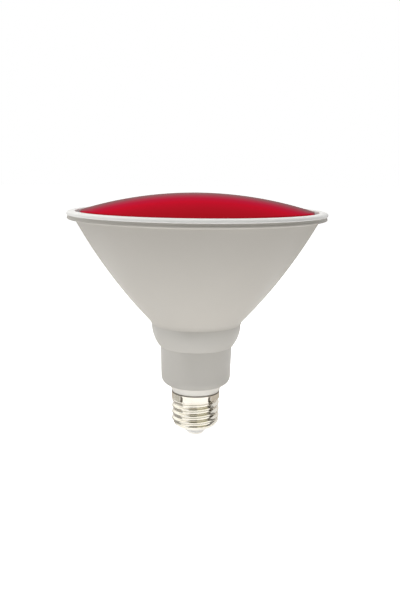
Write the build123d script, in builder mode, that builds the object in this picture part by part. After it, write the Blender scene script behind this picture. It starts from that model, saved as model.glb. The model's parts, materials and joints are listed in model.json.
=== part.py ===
from build123d import *
import math
import os

os.makedirs("parts", exist_ok=True)

# An LED reflector lamp with an E27 screw cap, a pale grey cone and a domed red lens.
# Millimetres. The lamp's axis is Z, the contact's tip is at the origin, the lens is at the top.

# Heights on the axis
contact_height = 1.6
shell_bottom = 4.6
insulator_top = 6.3
spigot_bottom = 9.4
turn_in_height = 9.2
run_out_height = 9.9
thread_top = 21.2
shell_top = 25.0
sleeve_bottom = 29.5
cup_floor = 31.3
cup_ledge = 32.7
collar_bottom = 51.2
sleeve_top = 58.1
cup_top = 60.0
cone_bottom = 63.85
pan_skirt = 93.0
boss_top = 100.0
pan_top = 101.2
flange_bottom = 120.3
seat_height = 121.9
flange_top = 123.0
gasket_top = 123.6
lip_top = 125.0
lens_apex = 134.3

# Screw cap: E27 thread, 7 turns to the inch, crest and root of one rolling radius
thread_pitch = 25.4 / 7
thread_turns = 5
thread_start = 3.53
crest_radius = 13.2
root_radius = 12.1
band_radius = 13.4
shell_wall = 0.3
shell_curve = 6.0
root_flat = 0.08
foot_depth = 0.12
thread_shoulder = 1.1
stake_count = 5
stake_angle = -54.0
stake_radius = 0.6
stake_length = 1.5
stake_height = 22.75

# Radii from the axis
contact_radius = 5.0
rivet_radius = 1.15
spigot_radius = 11.75
neck_radius = 13.3
flare_radius = 15.65
cup_radius = 17.4
sleeve_radius = 19.2
sleeve_top_radius = 19.72
cone_bottom_radius = 24.8
seat_radius = 60.2
lens_radius = 62.4
recess_radius = 64.2
lip_radius = 64.47
flange_radius = 68.75
bezel_radius = 69.15

# Section curves: the circle's radius and its centre, as distance from the axis and height
cone_curve = (263.3, -167.3, 244.8)
collar_curve = (18.3, 6.11, 62.87)
lens_curve = 211.4

# Walls and clearances
cone_wall = 1.8
collar_wall = 1.7
cup_wall = 1.5
spigot_wall = 1.2
lens_wall = 2.2
pan_wall = 1.2
clearance = 0.1
seat_gap = 0.03
joint_depth = 0.15
joint_height = 0.3

# Light engine
board_thickness = 1.6
led_board_radius = 45.0
board_screw_circle = 40.0
led_size = (3.5, 2.8, 0.7)
led_rings = ((18.0, 8), (27.0, 14), (36.0, 18))
lead_hole = 3.5
boss_radius = 3.0
boss_bottom = 80.0

# Driver
driver_width = 29.0
driver_top = 74.0
tongue_width = 18.0
tongue_bottom = 14.0
board_chamfer = 1.5

# Parts on the driver board: sizes across, off and up the board, and places across and up it
output_can = (5.0, 13.0)
output_place = (-4.5, 67.0)
core_size = (14.0, 7.0, 13.0)
core_window = (10.0, 8.0)
core_leg = 3.0
coil_length = 9.2
coil_wall = 2.3
transformer_place = 50.0
chip_size = (4.9, 1.5, 3.9)
chip_place = (4.0, 38.0)
film_size = (10.0, 5.0, 9.0)
film_place = (-3.0, 41.0)
choke_radius = 5.0
choke_waist = 4.3
choke_length = 9.0
choke_flange = 1.2
choke_place = 54.0
bridge_size = (6.4, 2.6, 4.7)
bridge_place = 66.5
fuse_radius = 1.8
fuse_length = 9.0
fuse_place = 25.0
connector_size = (6.4, 5.5, 4.0)

# Leads
lead_radius = 0.75
lead_spread = 1.3
connector_front = 6.0
connector_height = 105.0
pole_depth = 2.5

# Screws
housing_screw_circle = 20.4
screw_radius = 1.1
screw_pilot = 1.15
screw_head_radius = 2.3
screw_head_height = 1.5
recess_width = 0.6
recess_length = 2.4
recess_depth = 0.7


# The half plane in which turned pieces are drawn, clear of the thread's two ends
turning_plane = Plane(origin=(0, 0, 0), x_dir=(1, 1, 0), z_dir=(1, -1, 0))


def curve_radius(curve, height, inset=0.0):
    """Distance from the axis, at this height, of a side that is an arc in section"""
    size, centre_radius, centre_height = curve
    return centre_radius + math.sqrt((size - inset) ** 2 - (height - centre_height) ** 2)


def curve_points(curve, start, end, inset=0.0):
    """Start, middle and end of the arc between two heights"""
    heights = (start, (start + end) / 2, end)
    return [(curve_radius(curve, height, inset), height) for height in heights]


def corner(sketch, point):
    """The sketch's corner nearest to this point"""
    return sketch.vertices().sort_by_distance(point)[0]


def mid_of_arc(centre, start, end):
    """The point half way along the shorter arc between two points"""
    middle = (Vector(start) + Vector(end)) / 2 - Vector(centre)
    reach = (Vector(start) - Vector(centre)).length
    return Vector(centre) + middle.normalized() * reach


def thread_turn(inset, turn):
    """One turn of the rolled thread, swept up its helix. The inset gives the inside of the sheet."""
    pitch_half = thread_pitch / 2
    depth = crest_radius - root_radius
    roll = (pitch_half**2 + depth**2) / (4 * depth)
    crest_centre = (crest_radius - roll, 0)
    root_centre = (root_radius + roll, pitch_half)
    crest_roll = roll - inset
    root_roll = roll + inset
    share = crest_roll / (2 * roll)
    flank = (crest_centre[0] + (root_centre[0] - crest_centre[0]) * share, pitch_half * share)
    foot_x = root_centre[0] - root_roll + root_flat
    foot_y = pitch_half - math.sqrt(root_roll**2 - (root_roll - root_flat) ** 2)
    foot_slope = math.acos(1 - root_flat / root_roll)
    foot = (foot_x, foot_y)
    heel = (foot_x - foot_depth, foot_y + foot_depth / math.tan(foot_slope))
    hollow = mid_of_arc(root_centre, flank, foot)
    start = thread_start + turn * thread_pitch
    base = foot_x - 4 * foot_depth
    run_out = (shell_curve - inset, crest_radius + clearance - shell_curve, run_out_height)
    with BuildPart() as ridge:
        with BuildLine():
            Helix(thread_pitch, thread_pitch, crest_radius, center=(0, 0, start))
        with BuildSketch(Plane.XZ.shift_origin((0, 0, start))):
            with BuildLine():
                ThreePointArc((flank[0], -flank[1]), (crest_centre[0] + crest_roll, 0), flank)
                ThreePointArc(flank, hollow, foot)
                Polyline(foot, heel, (base, heel[1]), (base, -heel[1]), (heel[0], -heel[1]), (foot[0], -foot[1]))
                ThreePointArc((foot[0], -foot[1]), (hollow.X, -hollow.Y), (flank[0], -flank[1]))
            make_face()
        sweep(is_frenet=True)
        with BuildSketch(turning_plane):
            with BuildLine():
                lower = curve_points(run_out, run_out_height, shell_bottom - 0.2)
                ThreePointArc(*lower)
                Polyline(lower[2], (0, lower[2][1]), (0, shell_top), (lower[0][0], shell_top), lower[0])
            make_face()
        revolve(axis=Axis.Z, mode=Mode.INTERSECT)
    return ridge.part


def rolled_form(inset, low, high):
    """The cap from its bottom edge to its top edge, as a solid: core, band and thread"""
    core = root_radius - inset + root_flat
    band = band_radius - inset
    curve = (shell_curve - inset, core - shell_curve + inset, turn_in_height)
    with BuildPart() as form:
        with BuildSketch(turning_plane):
            with BuildLine():
                lower = curve_points(curve, turn_in_height, low)
                ThreePointArc(*lower)
                Polyline(lower[2], (0, low), (0, high), (band, high), (band, thread_top))
                Polyline((band, thread_top), (core, thread_top - thread_shoulder), lower[0])
            make_face()
        revolve(axis=Axis.Z)
        for turn in range(thread_turns):
            add(thread_turn(inset, turn))
    return form.part


def stake_marks(radius):
    """Upright rounded pegs round the band, where the shell is staked to the cup"""
    ends = [(0, 0, stake_height - stake_length / 2), (0, 0, stake_height + stake_length / 2)]
    with BuildPart() as pegs:
        with PolarLocations(band_radius + clearance, stake_count, start_angle=stake_angle):
            with Locations((0, 0, stake_height)):
                Cylinder(radius, stake_length)
            with Locations(*ends):
                Sphere(radius)
    return pegs.part


def pan_head_screws(circle, start_angle, seat, length):
    """Three screws in a circle, heads on the seat, each with a cross recess and its shank below"""
    with BuildPart() as screws:
        with PolarLocations(circle, 3, start_angle=start_angle):
            with Locations((0, 0, seat)):
                Cylinder(screw_radius, length, align=(Align.CENTER, Align.CENTER, Align.MAX))
                Cylinder(screw_head_radius, screw_head_height, align=(Align.CENTER, Align.CENTER, Align.MIN))
        heads = screws.edges().filter_by(GeomType.CIRCLE).group_by(Axis.Z)[-1]
        fillet(heads, screw_head_height / 2)
        with PolarLocations(circle, 3, start_angle=start_angle):
            with Locations((0, 0, seat + screw_head_height)):
                Box(recess_width, recess_length, 2 * recess_depth, mode=Mode.SUBTRACT)
                Box(recess_length, recess_width, 2 * recess_depth, mode=Mode.SUBTRACT)
    return screws.part


def lead_radii(points):
    """The largest even bends for a lead: 0.45 of the shorter run over the tangent of half the turn"""
    radii = []
    for before, here, after in zip(points, points[1:], points[2:]):
        run_in = Vector(here) - Vector(before)
        run_out = Vector(after) - Vector(here)
        turn = math.radians(run_in.get_angle(run_out))
        radii.append(0.45 * min(run_in.length, run_out.length) / math.tan(turn / 2))
    return radii


def insulated_lead(points, radius):
    """A lead along straight runs joined by tangent arcs"""
    first = Vector(points[1]) - Vector(points[0])
    with BuildPart() as lead:
        with BuildLine() as route:
            FilletPolyline(*points, radius=lead_radii(points))
        with BuildSketch(Plane(origin=points[0], z_dir=first)):
            Circle(radius)
        sweep()
    length = sum(edge.length for edge in route.edges())
    print("lead", round(length, 1), "mm, volume share", round(lead.part.volume / (math.pi * radius**2 * length), 3))
    return lead.part


# Screw shell: thin rolled sheet, open at both ends, staked near its top edge
shell_outside = rolled_form(0.0, shell_bottom, shell_top)
shell_inside = rolled_form(shell_wall, shell_bottom - 0.2, shell_top + 1)
with BuildPart() as stake_bumps:
    add(stake_marks(stake_radius + shell_wall))
    Cylinder(
        band_radius - shell_wall / 2,
        shell_top,
        align=(Align.CENTER, Align.CENTER, Align.MIN),
        mode=Mode.INTERSECT,
    )
with BuildPart() as screw_shell:
    add(shell_outside)
    add(shell_inside, mode=Mode.SUBTRACT)
    add(stake_bumps.part)
    add(stake_marks(stake_radius), mode=Mode.SUBTRACT)
screw_shell.part.label = "screw_shell"
export_step(screw_shell.part, "parts/screw_shell.step")

# Centre contact: a domed button with a flat tip and a hollow rivet through the insulator
with BuildPart() as centre_contact:
    with BuildSketch(Plane.XZ) as section:
        with BuildLine():
            Polyline(
                (0, 0),
                (contact_radius, 0),
                (contact_radius, contact_height),
                (rivet_radius, contact_height),
                (rivet_radius, insulator_top),
                (rivet_radius + 0.7, insulator_top),
                (rivet_radius + 0.4, insulator_top + 0.6),
                (rivet_radius - 0.3, insulator_top + 0.6),
                (rivet_radius - 0.3, contact_height / 2),
                (0, contact_height / 2),
                (0, 0),
            )
        make_face()
        fillet(corner(section, (contact_radius, 0)), 0.6 * contact_height)
    revolve(axis=Axis.Z)
centre_contact.part.label = "centre_contact"
export_step(centre_contact.part, "parts/centre_contact.step")

# Cap insulator: the white plug that closes the shell's lower edge and carries the contact
with BuildPart() as cap_insulator:
    with BuildSketch(Plane.XZ) as section:
        with BuildLine():
            core = root_radius - shell_wall + root_flat
            seat = (shell_curve - shell_wall - seat_gap, core - shell_curve + shell_wall, turn_in_height)
            side = curve_points(seat, shell_bottom, insulator_top)
            hole = rivet_radius + seat_gap
            face = contact_radius + 0.4
            ThreePointArc(*side)
            Polyline(side[2], (hole, insulator_top), (hole, contact_height), (face, contact_height), side[0])
        make_face()
        fillet(corner(section, (face, contact_height)), 0.6)
    revolve(axis=Axis.Z)
cap_insulator.part.label = "cap_insulator"
export_step(cap_insulator.part, "parts/cap_insulator.step")

# Driver cup: white inner cup. Its spigot fills the shell and its flared neck shows above it.
with BuildPart() as driver_cup:
    with BuildSketch(Plane.XZ):
        with BuildLine():
            groove = band_radius - shell_wall - stake_radius - clearance
            neck_foot = shell_top + joint_height
            bore = spigot_radius - spigot_wall
            throat = flare_radius - cup_wall - 0.5
            inside = cup_radius - cup_wall
            ThreePointArc((neck_radius, neck_foot), (neck_radius + 0.75, 27.3), (flare_radius, sleeve_bottom - 0.2))
            Polyline(
                (flare_radius, sleeve_bottom - 0.2),
                (flare_radius, cup_floor),
                (cup_radius, cup_floor),
                (cup_radius, cup_top),
                (inside, cup_top),
                (inside, cup_ledge),
                (throat, cup_ledge),
                (throat, sleeve_bottom),
                (bore, shell_top - 2.5),
                (bore, spigot_bottom),
                (spigot_radius, spigot_bottom),
                (spigot_radius, thread_top - 0.4),
                (groove, thread_top - 0.2),
                (groove, shell_top - 0.6),
                (band_radius - shell_wall - clearance, shell_top - 0.6),
                (band_radius - shell_wall - clearance, shell_top),
                (neck_radius - joint_depth, shell_top),
                (neck_radius - joint_depth, neck_foot),
                (neck_radius, neck_foot),
            )
        make_face()
    revolve(axis=Axis.Z)
    rib_height = cup_top - cup_ledge - 2
    rib_places = [
        (side * (driver_width / 2 + 0.3), face * (board_thickness / 2 + 0.7), cup_ledge + rib_height / 2)
        for side in (-1, 1)
        for face in (-1, 1)
    ]
    with Locations(*rib_places):
        Box(2.4, 1.2, rib_height)
driver_cup.part.label = "driver_cup"
export_step(driver_cup.part, "parts/driver_cup.step")

# Neck sleeve: grey cup outside the driver cup, with a rounded bottom edge
with BuildPart() as neck_sleeve:
    with BuildSketch(Plane.XZ):
        with BuildLine():
            bore = cup_radius + clearance
            ThreePointArc((sleeve_radius, 34.0), (18.45, 31.25), (16.35, sleeve_bottom))
            Polyline(
                (16.35, sleeve_bottom),
                (flare_radius + seat_gap, sleeve_bottom),
                (flare_radius + seat_gap, cup_floor),
                (bore, cup_floor),
                (bore, sleeve_top),
                (sleeve_top_radius, sleeve_top),
                (sleeve_top_radius, collar_bottom),
                (sleeve_radius, 34.0),
            )
        make_face()
    revolve(axis=Axis.Z)
neck_sleeve.part.label = "neck_sleeve"
export_step(neck_sleeve.part, "parts/neck_sleeve.step")

# Collar: bowl-shaped ring that joins the sleeve to the cone, with three screw bosses
with BuildPart() as collar:
    with BuildSketch(Plane.XZ):
        with BuildLine():
            socket = sleeve_top_radius + clearance
            throat = cup_radius + 0.6
            inside = curve_radius(collar_curve, cup_top, collar_wall)
            side = curve_points(collar_curve, collar_bottom, cone_bottom)
            ThreePointArc(*side)
            Polyline(
                side[2],
                (inside, cone_bottom),
                (inside, cup_top),
                (throat, cup_top),
                (throat, sleeve_top),
                (socket, sleeve_top),
                (socket, collar_bottom),
                side[0],
            )
        make_face()
    revolve(axis=Axis.Z)
    with PolarLocations(housing_screw_circle, 3, start_angle=90):
        with Locations((0, 0, cone_bottom)):
            Cylinder(screw_head_radius, cone_bottom - cup_top, align=(Align.CENTER, Align.CENTER, Align.MAX))
            Cylinder(
                screw_pilot,
                cone_bottom - sleeve_top,
                align=(Align.CENTER, Align.CENTER, Align.MAX),
                mode=Mode.SUBTRACT,
            )
collar.part.label = "collar"
export_step(collar.part, "parts/collar.step")

# Reflector housing: the curved cone, with its floor, lens seat, flange and bosses
floor_top = cone_bottom + cone_wall
with BuildPart() as bosses:
    with PolarLocations(board_screw_circle, 3, start_angle=30):
        with Locations((0, 0, boss_bottom)):
            Cylinder(boss_radius, boss_top - boss_bottom, align=(Align.CENTER, Align.CENTER, Align.MIN))
    with BuildSketch(Plane.XZ):
        with BuildLine():
            bound = curve_points(cone_curve, floor_top, flange_top, cone_wall / 2)
            ThreePointArc(*bound)
            Polyline(bound[2], (0, flange_top), (0, floor_top), bound[0])
        make_face()
    revolve(axis=Axis.Z, mode=Mode.INTERSECT)
with BuildPart() as reflector_housing:
    with BuildSketch(Plane.XZ) as section:
        with BuildLine():
            opening = cup_radius + 0.2
            outer = curve_points(cone_curve, cone_bottom + 1.15, flange_bottom)
            inner = curve_points(cone_curve, floor_top, seat_height - 3.7, cone_wall)
            ThreePointArc(*outer)
            ThreePointArc(*inner)
            Polyline(
                outer[2],
                (flange_radius, flange_bottom + 0.9),
                (flange_radius, flange_top),
                (recess_radius, flange_top),
                (recess_radius, seat_height),
                (seat_radius, seat_height),
                (seat_radius, seat_height - 1),
                inner[2],
            )
            Polyline(inner[0], (opening, floor_top), (opening, cone_bottom), (cone_bottom_radius, cone_bottom), outer[0])
        make_face()
        fillet(corner(section, (flange_radius, flange_bottom + 0.9)), 0.9)
        fillet(corner(section, outer[2]), 0.8)
    revolve(axis=Axis.Z)
    add(bosses.part)
    with PolarLocations(board_screw_circle, 3, start_angle=30):
        with Locations((0, 0, boss_top)):
            Cylinder(screw_pilot, 9, align=(Align.CENTER, Align.CENTER, Align.MAX), mode=Mode.SUBTRACT)
    with PolarLocations(housing_screw_circle, 3, start_angle=90):
        with Locations((0, 0, floor_top)):
            Cylinder(screw_pilot, 2 * cone_wall, mode=Mode.SUBTRACT)
reflector_housing.part.label = "reflector_housing"
export_step(reflector_housing.part, "parts/reflector_housing.step")

# Bezel ring: pale rounded ring on the flange
with BuildPart() as bezel_ring:
    with BuildSketch(Plane.XZ) as section:
        with BuildLine():
            Polyline(
                (lip_radius, flange_top),
                (bezel_radius, flange_top),
                (bezel_radius, lip_top),
                (lip_radius, lip_top),
                (lip_radius, flange_top),
            )
        make_face()
        fillet(corner(section, (bezel_radius, lip_top)), 1.4)
        fillet(corner(section, (bezel_radius, flange_top)), 0.4)
        fillet(corner(section, (lip_radius, lip_top)), 0.5)
    revolve(axis=Axis.Z)
bezel_ring.part.label = "bezel_ring"
export_step(bezel_ring.part, "parts/bezel_ring.step")

# Lens gasket: sealing ring under the lens's foot and round its skirt
foot_height = seat_height + 0.3
with BuildPart() as lens_gasket:
    with BuildSketch(Plane.XZ):
        with BuildLine():
            outside = recess_radius - clearance / 2
            Polyline(
                (seat_radius + 0.2, seat_height),
                (outside, seat_height),
                (outside, gasket_top),
                (lens_radius + seat_gap, gasket_top),
                (lens_radius + seat_gap, foot_height),
                (seat_radius + 0.2, foot_height),
                (seat_radius + 0.2, seat_height),
            )
        make_face()
    revolve(axis=Axis.Z)
lens_gasket.part.label = "lens_gasket"
export_step(lens_gasket.part, "parts/lens_gasket.step")

# Lens: shallow dome with a rounded shoulder and a short upright skirt
dome_centre = lens_apex - lens_curve
with BuildPart() as lens:
    with BuildSketch(Plane.XZ) as section:
        with BuildLine():
            skirt_inside = lens_radius - lens_wall
            outer_edge = dome_centre + math.sqrt(lens_curve**2 - lens_radius**2)
            inner_edge = dome_centre + math.sqrt((lens_curve - lens_wall) ** 2 - skirt_inside**2)
            outer_mid = dome_centre + math.sqrt(lens_curve**2 - (lens_radius / 2) ** 2)
            inner_mid = dome_centre + math.sqrt((lens_curve - lens_wall) ** 2 - (skirt_inside / 2) ** 2)
            ThreePointArc((0, lens_apex), (lens_radius / 2, outer_mid), (lens_radius, outer_edge))
            Polyline(
                (lens_radius, outer_edge),
                (lens_radius, foot_height),
                (skirt_inside, foot_height),
                (skirt_inside, inner_edge),
            )
            ThreePointArc((skirt_inside, inner_edge), (skirt_inside / 2, inner_mid), (0, lens_apex - lens_wall))
            Line((0, lens_apex - lens_wall), (0, lens_apex))
        make_face()
        fillet(corner(section, (lens_radius, outer_edge)), 1.8)
    revolve(axis=Axis.Z)
lens.part.label = "lens"
export_step(lens.part, "parts/lens.step")

# Heat sink: pressed aluminium pan whose skirt follows the cone's wall
with BuildPart() as heat_sink:
    with BuildSketch(Plane.XZ) as section:
        with BuildLine():
            outer = curve_points(cone_curve, pan_skirt, pan_top, cone_wall + clearance)
            inner = curve_points(cone_curve, pan_skirt, boss_top, cone_wall + clearance + pan_wall)
            ThreePointArc(*outer)
            ThreePointArc(*inner)
            Line(outer[0], inner[0])
            Polyline(inner[2], (lead_hole + 0.5, boss_top), (lead_hole + 0.5, pan_top), outer[2])
        make_face()
        fillet(corner(section, outer[2]), 1.5 * pan_wall)
        fillet(corner(section, inner[2]), pan_wall / 2)
    revolve(axis=Axis.Z)
    with PolarLocations(board_screw_circle, 3, start_angle=30):
        with Locations((0, 0, pan_top)):
            Cylinder(screw_pilot, 4 * pan_wall, mode=Mode.SUBTRACT)
heat_sink.part.label = "heat_sink"
export_step(heat_sink.part, "parts/heat_sink.step")

# LED board: round aluminium-core board on the pan
board_top = pan_top + board_thickness
with BuildPart() as led_board:
    with BuildSketch(Plane.XY.offset(pan_top)):
        Circle(led_board_radius)
        Circle(lead_hole, mode=Mode.SUBTRACT)
        with PolarLocations(board_screw_circle, 3, start_angle=30):
            Circle(screw_pilot, mode=Mode.SUBTRACT)
    extrude(amount=board_thickness)
led_board.part.label = "led_board"
export_step(led_board.part, "parts/led_board.step")

# LED packages in three rings
with BuildPart() as leds:
    for ring_radius, ring_count in led_rings:
        with PolarLocations(ring_radius, ring_count):
            with Locations((0, 0, board_top)):
                Box(*led_size, align=(Align.CENTER, Align.CENTER, Align.MIN))
leds.part.label = "leds"
export_step(leds.part, "parts/leds.step")

# Screws through the board and the pan into the bosses
with BuildPart() as board_screws:
    add(pan_head_screws(board_screw_circle, 30, board_top, 9))
board_screws.part.label = "board_screws"
export_step(board_screws.part, "parts/board_screws.step")

# Screws through the cone's floor into the collar
with BuildPart() as housing_screws:
    add(pan_head_screws(housing_screw_circle, 90, floor_top, 7))
housing_screws.part.label = "housing_screws"
export_step(housing_screws.part, "parts/housing_screws.step")

# Lead connector: two-pole block beside the lead hole
pole_places = [(side * lead_spread, connector_front, connector_height) for side in (-1, 1)]
with BuildPart() as lead_connector:
    with Locations((0, connector_front, board_top)):
        Box(*connector_size, align=(Align.CENTER, Align.MIN, Align.MIN))
    fillet(lead_connector.edges().filter_by(Axis.Z), 0.4)
    with Locations(*pole_places):
        Cylinder(lead_radius + seat_gap, 2 * pole_depth, rotation=(90, 0, 0), mode=Mode.SUBTRACT)
lead_connector.part.label = "lead_connector"
export_step(lead_connector.part, "parts/lead_connector.step")

# Driver board: upright, with a narrow tongue down into the cap
with BuildPart() as driver_board:
    with BuildSketch(Plane.XZ.offset(-board_thickness / 2)) as outline:
        with Locations((0, (driver_top + cup_ledge) / 2)):
            Rectangle(driver_width, driver_top - cup_ledge)
        with Locations((0, (cup_ledge + tongue_bottom) / 2)):
            Rectangle(tongue_width, cup_ledge - tongue_bottom)
        chamfer(outline.vertices().group_by(Axis.Y)[0], board_chamfer)
        chamfer(outline.vertices().group_by(Axis.Y)[-1], board_chamfer)
    extrude(amount=board_thickness)
driver_board.part.label = "driver_board"
export_step(driver_board.part, "parts/driver_board.step")

# Parts on the driver board's two faces
front = board_thickness / 2
to_front = (Align.CENTER, Align.MIN, Align.CENTER)
to_back = (Align.CENTER, Align.MAX, Align.CENTER)

with BuildPart() as output_capacitor:
    with Locations((output_place[0], front + output_can[0], output_place[1])):
        Cylinder(*output_can)
    can_edges = output_capacitor.edges().filter_by(GeomType.CIRCLE)
    fillet(can_edges.group_by(Axis.Z)[-1], 0.8)
    fillet(can_edges.group_by(Axis.Z)[0], 0.8)
output_capacitor.part.label = "output_capacitor"
export_step(output_capacitor.part, "parts/output_capacitor.step")

leg_section = (core_size[1], core_leg)
coil_section = (core_size[1] + 2 * coil_wall, core_leg + 2 * coil_wall)
coil_centre = (front + coil_section[0] / 2, transformer_place)
with BuildPart() as transformer_core:
    with Locations((0, *coil_centre)):
        Box(*core_size)
        Box(core_window[0], core_size[1], core_window[1], mode=Mode.SUBTRACT)
        Box(core_window[0], *leg_section)
transformer_core.part.label = "transformer_core"
export_step(transformer_core.part, "parts/transformer_core.step")

with BuildPart() as transformer_coil:
    with BuildSketch(Plane.YZ.offset(-coil_length / 2)):
        with Locations(coil_centre):
            RectangleRounded(*coil_section, 1.5)
            Rectangle(leg_section[0] + clearance, leg_section[1] + clearance, mode=Mode.SUBTRACT)
    extrude(amount=coil_length)
transformer_coil.part.label = "transformer_coil"
export_step(transformer_coil.part, "parts/transformer_coil.step")

with BuildPart() as driver_chip:
    with Locations((chip_place[0], front, chip_place[1])):
        Box(*chip_size, align=to_front)
    chamfer(driver_chip.faces().sort_by(Axis.Y)[-1].edges(), 0.3)
driver_chip.part.label = "driver_chip"
export_step(driver_chip.part, "parts/driver_chip.step")

with BuildPart() as input_capacitor:
    with Locations((film_place[0], -front, film_place[1])):
        Box(*film_size, align=to_back)
    fillet(input_capacitor.faces().sort_by(Axis.Y)[0].edges(), 0.8)
input_capacitor.part.label = "input_capacitor"
export_step(input_capacitor.part, "parts/input_capacitor.step")

with BuildPart() as choke:
    with BuildSketch(Plane.XZ.offset(front)):
        with Locations((0, choke_place)):
            Circle(choke_radius)
    extrude(amount=choke_length)
    with BuildSketch(Plane.XZ.offset(front + choke_flange)):
        with Locations((0, choke_place)):
            Circle(choke_radius + 1)
            Circle(choke_waist, mode=Mode.SUBTRACT)
    extrude(amount=choke_length - 2 * choke_flange, mode=Mode.SUBTRACT)
choke.part.label = "choke"
export_step(choke.part, "parts/choke.step")

with BuildPart() as bridge_rectifier:
    with Locations((0, -front, bridge_place)):
        Box(*bridge_size, align=to_back)
    chamfer(bridge_rectifier.faces().sort_by(Axis.Y)[0].edges(), 0.4)
bridge_rectifier.part.label = "bridge_rectifier"
export_step(bridge_rectifier.part, "parts/bridge_rectifier.step")

with BuildPart() as fuse_resistor:
    with Locations((0, front + fuse_radius, fuse_place)):
        Cylinder(fuse_radius, fuse_length)
    body_edges = fuse_resistor.edges().filter_by(GeomType.CIRCLE)
    fillet(body_edges, 0.6)
fuse_resistor.part.label = "fuse_resistor"
export_step(fuse_resistor.part, "parts/fuse_resistor.step")

# Leads, each made whole along its route
live_route = [
    (0, 0, contact_height),
    (0, 0, 9.5),
    (2.6, 1.9, 13.5),
    (2.6, 1.9, 19.5),
]
with BuildPart() as live_lead:
    add(insulated_lead(live_route, lead_radius))
live_lead.part.label = "live_lead"
export_step(live_lead.part, "parts/live_lead.step")

neutral_route = [
    (11.3, 0, 7.7),
    (8.4, 0, 8.0),
    (6.0, -1.8, 11.5),
    (6.0, -1.8, 19.5),
]
with BuildPart() as neutral_lead:
    add(insulated_lead(neutral_route, lead_radius))
neutral_lead.part.label = "neutral_lead"
export_step(neutral_lead.part, "parts/neutral_lead.step")


def led_lead(side):
    """From the driver board's top, up through the lead hole and into the connector"""
    points = [
        (side * 9.0, -1.8, 70.0),
        (side * 9.0, -1.8, 79.0),
        (side * lead_spread, -0.6, 90.0),
        (side * lead_spread, -0.6, connector_height),
        (side * lead_spread, connector_front + pole_depth - clearance, connector_height),
    ]
    return insulated_lead(points, lead_radius)


with BuildPart() as positive_lead:
    add(led_lead(1))
positive_lead.part.label = "positive_lead"
export_step(positive_lead.part, "parts/positive_lead.step")

with BuildPart() as negative_lead:
    add(led_lead(-1))
negative_lead.part.label = "negative_lead"
export_step(negative_lead.part, "parts/negative_lead.step")
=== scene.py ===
import json
import math
import bmesh
import bpy
from mathutils import Matrix, Vector


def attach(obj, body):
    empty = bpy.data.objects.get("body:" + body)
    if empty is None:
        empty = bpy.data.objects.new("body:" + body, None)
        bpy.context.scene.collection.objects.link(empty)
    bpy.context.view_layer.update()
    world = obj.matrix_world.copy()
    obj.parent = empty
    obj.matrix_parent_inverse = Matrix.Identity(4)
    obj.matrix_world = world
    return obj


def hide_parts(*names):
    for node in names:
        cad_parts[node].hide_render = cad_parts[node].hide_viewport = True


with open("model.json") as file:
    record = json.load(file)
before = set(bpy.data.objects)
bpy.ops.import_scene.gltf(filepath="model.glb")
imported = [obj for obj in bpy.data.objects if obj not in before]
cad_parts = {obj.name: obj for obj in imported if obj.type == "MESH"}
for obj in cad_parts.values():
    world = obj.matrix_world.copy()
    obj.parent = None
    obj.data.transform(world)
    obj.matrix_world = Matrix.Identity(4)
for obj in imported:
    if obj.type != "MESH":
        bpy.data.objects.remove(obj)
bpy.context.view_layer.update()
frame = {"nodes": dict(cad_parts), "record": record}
MM = 0.001

# The lamp's axis is Z and the contact's tip is at the origin. Sizes are in millimetres here
# and become metres where a mesh is made.
SHELL_BOTTOM = 4.6
SHELL_TOP = 25.0
THREAD_PITCH = 25.4 / 7
THREAD_START = 3.53
THREAD_TOP = 21.2
THREAD_SHOULDER = 1.1
CREST_RADIUS = 13.2
ROOT_RADIUS = 12.1
ROOT_FLAT = 0.08
BAND_RADIUS = 13.4
SHELL_WALL = 0.3
SHELL_CURVE = 6.0
TURN_IN_HEIGHT = 9.2
RUN_OUT_HEIGHT = 9.9
STAKE_COUNT = 5
STAKE_ANGLE = -54.0
STAKE_RADIUS = 0.95
STAKE_LENGTH = 1.2
STAKE_HEIGHT = 22.6

CONTACT_HEIGHT = 1.6
CONTACT_RADIUS = 5.0
RIVET_RADIUS = 1.15
INSULATOR_TOP = 6.3
SPIGOT_BOTTOM = 9.4
SPIGOT_RADIUS = 11.75
NECK_RADIUS = 13.3
FLARE_RADIUS = 15.65
CUP_RADIUS = 17.4
CUP_FLOOR = 31.3
CUP_LEDGE = 32.7
CUP_TOP = 60.0
SLEEVE_BOTTOM = 29.5
SLEEVE_RADIUS = 19.2
SLEEVE_TOP_RADIUS = 19.72
SLEEVE_TOP = 58.1
COLLAR_BOTTOM = 51.2
CONE_BOTTOM = 63.85
CONE_BOTTOM_RADIUS = 24.8
FLANGE_BOTTOM = 120.3
SEAT_HEIGHT = 121.9
FLANGE_TOP = 123.0
GASKET_TOP = 123.6
LIP_TOP = 125.0
LENS_APEX = 134.3
SEAT_RADIUS = 60.2
LENS_RADIUS = 62.4
RECESS_RADIUS = 64.2
LIP_RADIUS = 64.47
FLANGE_RADIUS = 68.75
BEZEL_RADIUS = 69.15
CONE_WALL = 1.8
COLLAR_WALL = 1.7
CUP_WALL = 1.5
SPIGOT_WALL = 1.2
LENS_WALL = 2.2
CLEARANCE = 0.1
SEAT_GAP = 0.03
JOINT_DEPTH = 0.6
JOINT_HEIGHT = 0.45

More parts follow.
